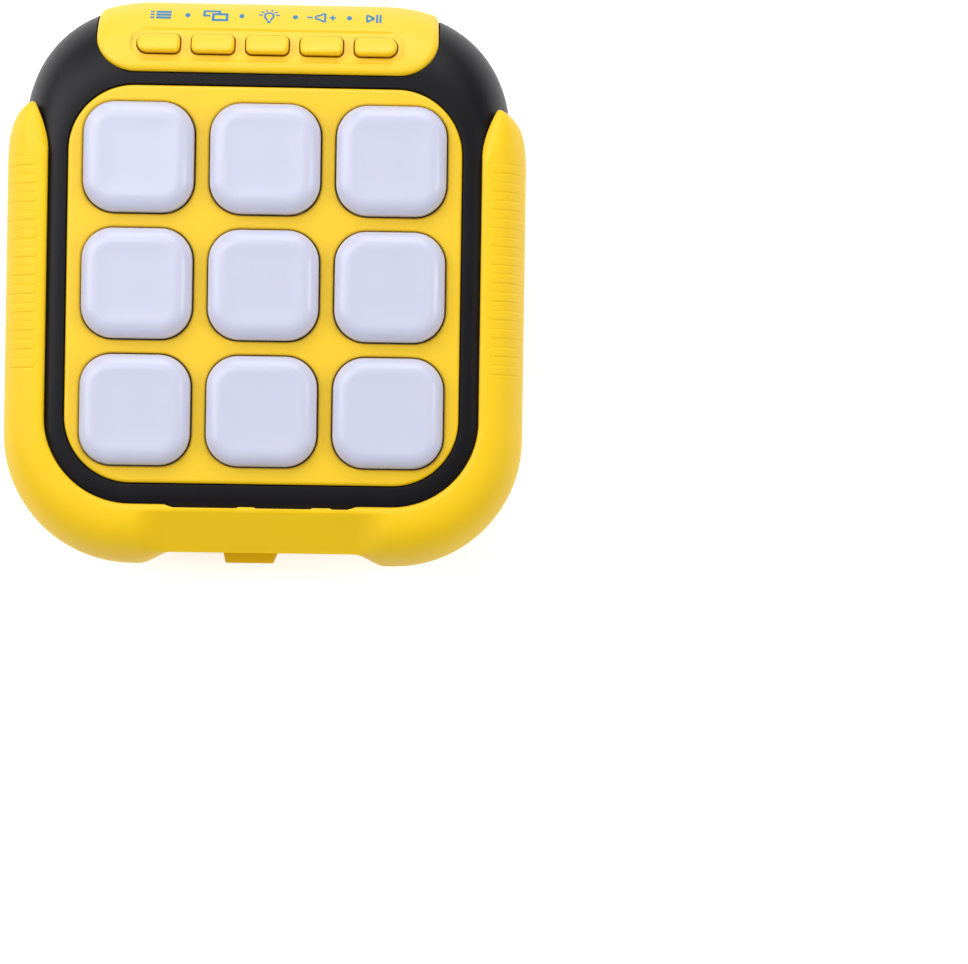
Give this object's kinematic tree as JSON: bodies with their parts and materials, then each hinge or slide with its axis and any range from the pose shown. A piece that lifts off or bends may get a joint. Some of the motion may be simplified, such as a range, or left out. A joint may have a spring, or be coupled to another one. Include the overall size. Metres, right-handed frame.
{
  "type": "handheld electronic game",
  "caption": "Square handheld light-and-sound game with a grid of rounded push keys, a strip of small buttons on a rolled top cover, a black case and a yellow ribbed grip.",
  "frame": {"origin": "On the flat back of the rear shell, under the middle of the middle key.", "axes": "+Z out of the keys, square to the flat back; +Y towards the strip of small buttons; +X to the right, seen from the front."},
  "size_m": [0.1218, 0.1317, 0.0355],
  "materials": {
    "front_frame": "black, satin",
    "rear_shell": "black, satin, fine grain",
    "key_panel": "yellow, satin gloss",
    "bumper": "yellow, soft touch",
    "control_cover": "yellow, satin gloss",
    "main_board": "green circuit board",
    "speaker": "pressed steel",
    "led_1": "white lens, three colours inside",
    "led_2": "white lens, three colours inside",
    "led_3": "white lens, three colours inside",
    "led_4": "white lens, three colours inside",
    "led_5": "white lens, three colours inside",
    "led_6": "white lens, three colours inside",
    "led_7": "white lens, three colours inside",
    "led_8": "white lens, three colours inside",
    "led_9": "white lens, three colours inside",
    "key_dome_1": "clear silicone",
    "key_dome_2": "clear silicone",
    "key_dome_3": "clear silicone",
    "key_dome_4": "clear silicone",
    "key_dome_5": "clear silicone",
    "key_dome_6": "clear silicone",
    "key_dome_7": "clear silicone",
    "key_dome_8": "clear silicone",
    "key_dome_9": "clear silicone",
    "strip_dome_1": "clear silicone",
    "strip_dome_2": "clear silicone",
    "strip_dome_3": "clear silicone",
    "strip_dome_4": "clear silicone",
    "strip_dome_5": "clear silicone",
    "battery_1": "plain grey sleeve over steel",
    "battery_2": "plain grey sleeve over steel",
    "battery_3": "plain grey sleeve over steel",
    "battery_contact_1": "nickel plated",
    "battery_contact_2": "nickel plated",
    "battery_contact_3": "nickel plated",
    "battery_contact_4": "nickel plated",
    "case_screw_1": "zinc plated",
    "case_screw_2": "zinc plated",
    "case_screw_3": "zinc plated",
    "case_screw_4": "zinc plated",
    "key_1": "translucent white, glossy",
    "key_2": "translucent white, glossy",
    "key_3": "translucent white, glossy",
    "key_4": "translucent white, glossy",
    "key_5": "translucent white, glossy",
    "key_6": "translucent white, glossy",
    "key_7": "translucent white, glossy",
    "key_8": "translucent white, glossy",
    "key_9": "translucent white, glossy",
    "strip_button_1": "yellow, satin gloss",
    "strip_button_2": "yellow, satin gloss",
    "strip_button_3": "yellow, satin gloss",
    "strip_button_4": "yellow, satin gloss",
    "strip_button_5": "yellow, satin gloss",
    "battery_door": "black, satin",
    "door_screw": "zinc plated"
  },
  "bodies": {
    "case": {"front_frame": "front_frame", "rear_shell": "rear_shell", "key_panel": "key_panel", "bumper": "bumper", "control_cover": "control_cover", "main_board": "main_board", "speaker": "speaker", "led_1": "led_1", "led_2": "led_2", "led_3": "led_3", "led_4": "led_4", "led_5": "led_5", "led_6": "led_6", "led_7": "led_7", "led_8": "led_8", "led_9": "led_9", "key_dome_1": "key_dome_1", "key_dome_2": "key_dome_2", "key_dome_3": "key_dome_3", "key_dome_4": "key_dome_4", "key_dome_5": "key_dome_5", "key_dome_6": "key_dome_6", "key_dome_7": "key_dome_7", "key_dome_8": "key_dome_8", "key_dome_9": "key_dome_9", "strip_dome_1": "strip_dome_1", "strip_dome_2": "strip_dome_2", "strip_dome_3": "strip_dome_3", "strip_dome_4": "strip_dome_4", "strip_dome_5": "strip_dome_5", "battery_1": "battery_1", "battery_2": "battery_2", "battery_3": "battery_3", "battery_contact_1": "battery_contact_1", "battery_contact_2": "battery_contact_2", "battery_contact_3": "battery_contact_3", "battery_contact_4": "battery_contact_4", "case_screw_1": "case_screw_1", "case_screw_2": "case_screw_2", "case_screw_3": "case_screw_3", "case_screw_4": "case_screw_4"},
    "key_1_body": {"key_1": "key_1"},
    "key_2_body": {"key_2": "key_2"},
    "key_3_body": {"key_3": "key_3"},
    "key_4_body": {"key_4": "key_4"},
    "key_5_body": {"key_5": "key_5"},
    "key_6_body": {"key_6": "key_6"},
    "key_7_body": {"key_7": "key_7"},
    "key_8_body": {"key_8": "key_8"},
    "key_9_body": {"key_9": "key_9"},
    "strip_button_1_body": {"strip_button_1": "strip_button_1"},
    "strip_button_2_body": {"strip_button_2": "strip_button_2"},
    "strip_button_3_body": {"strip_button_3": "strip_button_3"},
    "strip_button_4_body": {"strip_button_4": "strip_button_4"},
    "strip_button_5_body": {"strip_button_5": "strip_button_5"},
    "door_body": {"battery_door": "battery_door", "door_screw": "door_screw"}
  },
  "joints": [
    {"name": "key_1_press", "type": "slide", "parent": "case", "child": "key_1_body", "axis": [0, 0, -1], "range_m": [0, 0.0013], "stiffness_N_per_m": 300, "springref_m": -0.001, "deforming": ["key_dome_1"]},
    {"name": "key_2_press", "type": "slide", "parent": "case", "child": "key_2_body", "axis": [0, 0, -1], "range_m": [0, 0.0013], "stiffness_N_per_m": 300, "springref_m": -0.001, "deforming": ["key_dome_2"]},
    {"name": "key_3_press", "type": "slide", "parent": "case", "child": "key_3_body", "axis": [0, 0, -1], "range_m": [0, 0.0013], "stiffness_N_per_m": 300, "springref_m": -0.001, "deforming": ["key_dome_3"]},
    {"name": "key_4_press", "type": "slide", "parent": "case", "child": "key_4_body", "axis": [0, 0, -1], "range_m": [0, 0.0013], "stiffness_N_per_m": 300, "springref_m": -0.001, "deforming": ["key_dome_4"]},
    {"name": "key_5_press", "type": "slide", "parent": "case", "child": "key_5_body", "axis": [0, 0, -1], "range_m": [0, 0.0013], "stiffness_N_per_m": 300, "springref_m": -0.001, "deforming": ["key_dome_5"]},
    {"name": "key_6_press", "type": "slide", "parent": "case", "child": "key_6_body", "axis": [0, 0, -1], "range_m": [0, 0.0013], "stiffness_N_per_m": 300, "springref_m": -0.001, "deforming": ["key_dome_6"]},
    {"name": "key_7_press", "type": "slide", "parent": "case", "child": "key_7_body", "axis": [0, 0, -1], "range_m": [0, 0.0013], "stiffness_N_per_m": 300, "springref_m": -0.001, "deforming": ["key_dome_7"]},
    {"name": "key_8_press", "type": "slide", "parent": "case", "child": "key_8_body", "axis": [0, 0, -1], "range_m": [0, 0.0013], "stiffness_N_per_m": 300, "springref_m": -0.001, "deforming": ["key_dome_8"]},
    {"name": "key_9_press", "type": "slide", "parent": "case", "child": "key_9_body", "axis": [0, 0, -1], "range_m": [0, 0.0013], "stiffness_N_per_m": 300, "springref_m": -0.001, "deforming": ["key_dome_9"]},
    {"name": "strip_button_1_press", "type": "slide", "parent": "case", "child": "strip_button_1_body", "axis": [0, 0, -1], "range_m": [0, 0.001], "stiffness_N_per_m": 300, "springref_m": -0.001, "deforming": ["strip_dome_1"]},
    {"name": "strip_button_2_press", "type": "slide", "parent": "case", "child": "strip_button_2_body", "axis": [0, 0, -1], "range_m": [0, 0.001], "stiffness_N_per_m": 300, "springref_m": -0.001, "deforming": ["strip_dome_2"]},
    {"name": "strip_button_3_press", "type": "slide", "parent": "case", "child": "strip_button_3_body", "axis": [0, 0, -1], "range_m": [0, 0.001], "stiffness_N_per_m": 300, "springref_m": -0.001, "deforming": ["strip_dome_3"]},
    {"name": "strip_button_4_press", "type": "slide", "parent": "case", "child": "strip_button_4_body", "axis": [0, 0, -1], "range_m": [0, 0.001], "stiffness_N_per_m": 300, "springref_m": -0.001, "deforming": ["strip_dome_4"]},
    {"name": "strip_button_5_press", "type": "slide", "parent": "case", "child": "strip_button_5_body", "axis": [0, 0, -1], "range_m": [0, 0.001], "stiffness_N_per_m": 300, "springref_m": -0.001, "deforming": ["strip_dome_5"]},
    {"name": "battery_door_lift", "type": "slide", "parent": "case", "child": "door_body", "axis": [0, 0, -1], "range_m": [0, 0.03]}
  ]
}
